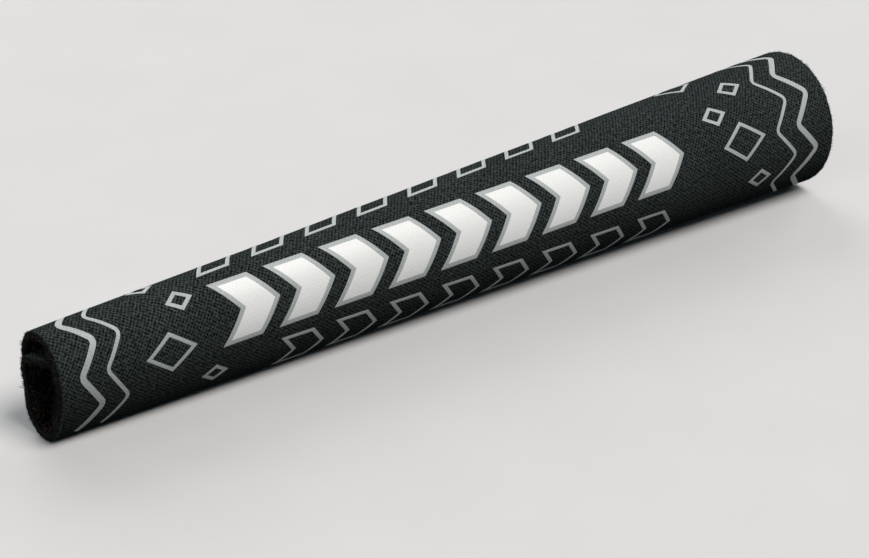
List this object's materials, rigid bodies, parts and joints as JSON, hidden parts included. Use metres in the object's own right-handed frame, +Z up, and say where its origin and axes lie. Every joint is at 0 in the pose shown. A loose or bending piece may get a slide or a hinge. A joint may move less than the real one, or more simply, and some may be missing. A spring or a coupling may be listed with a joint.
{
  "type": "bicycle frame protector",
  "caption": "Soft padded wrap for a bicycle's chainstay, rolled into a tapered tube with its long edges overlapped; woven outside with a bold chevron print.",
  "frame": {"origin": "middle of the tube's bounding box, on the surface that it lies on", "axes": "+X along the tube to its wide end, +Z up, -Y towards the printed side"},
  "size_m": [0.252, 0.0378, 0.0394],
  "materials": {
    "woven_face": "matt black woven nylon, heavy plain weave, with a looped lining and a raw cut edge",
    "hook_tape": "black woven tape covered with short stiff hooks",
    "print_white": "flexible white print film with a soft satin surface",
    "print_grey": "flexible light grey print film with a soft satin surface"
  },
  "bodies": {
    "root": {"wrap": "woven_face", "hook_strip": "hook_tape", "print_border_1": "print_grey", "print_border_2": "print_grey", "print_border_3": "print_grey", "print_border_4": "print_grey", "print_border_5": "print_grey", "print_border_6": "print_grey", "print_border_7": "print_grey", "print_border_8": "print_grey", "print_border_9": "print_grey", "print_chevron_1": "print_white", "print_chevron_2": "print_white", "print_chevron_3": "print_white", "print_chevron_4": "print_white", "print_chevron_5": "print_white", "print_chevron_6": "print_white", "print_chevron_7": "print_white", "print_chevron_8": "print_white", "print_chevron_9": "print_white", "print_lower_1": "print_grey", "print_lower_2": "print_grey", "print_lower_3": "print_grey", "print_lower_4": "print_grey", "print_lower_5": "print_grey", "print_lower_6": "print_grey", "print_lower_7": "print_grey", "print_lower_8": "print_grey", "print_narrow_diamond_1": "print_grey", "print_narrow_diamond_2": "print_grey", "print_narrow_diamond_3": "print_grey", "print_narrow_diamond_4": "print_grey", "print_narrow_zigzag_bold": "print_grey", "print_narrow_zigzag_thin": "print_grey", "print_upper_1": "print_grey", "print_upper_2": "print_grey", "print_upper_3": "print_grey", "print_upper_4": "print_grey", "print_upper_5": "print_grey", "print_upper_6": "print_grey", "print_upper_7": "print_grey", "print_upper_8": "print_grey", "print_wide_diamond_1": "print_grey", "print_wide_diamond_2": "print_grey", "print_wide_diamond_3": "print_grey", "print_wide_diamond_4": "print_grey", "print_wide_diamond_5": "print_grey", "print_wide_zigzag_bold": "print_grey", "print_wide_zigzag_thin": "print_grey"}
  },
  "joints": []
}
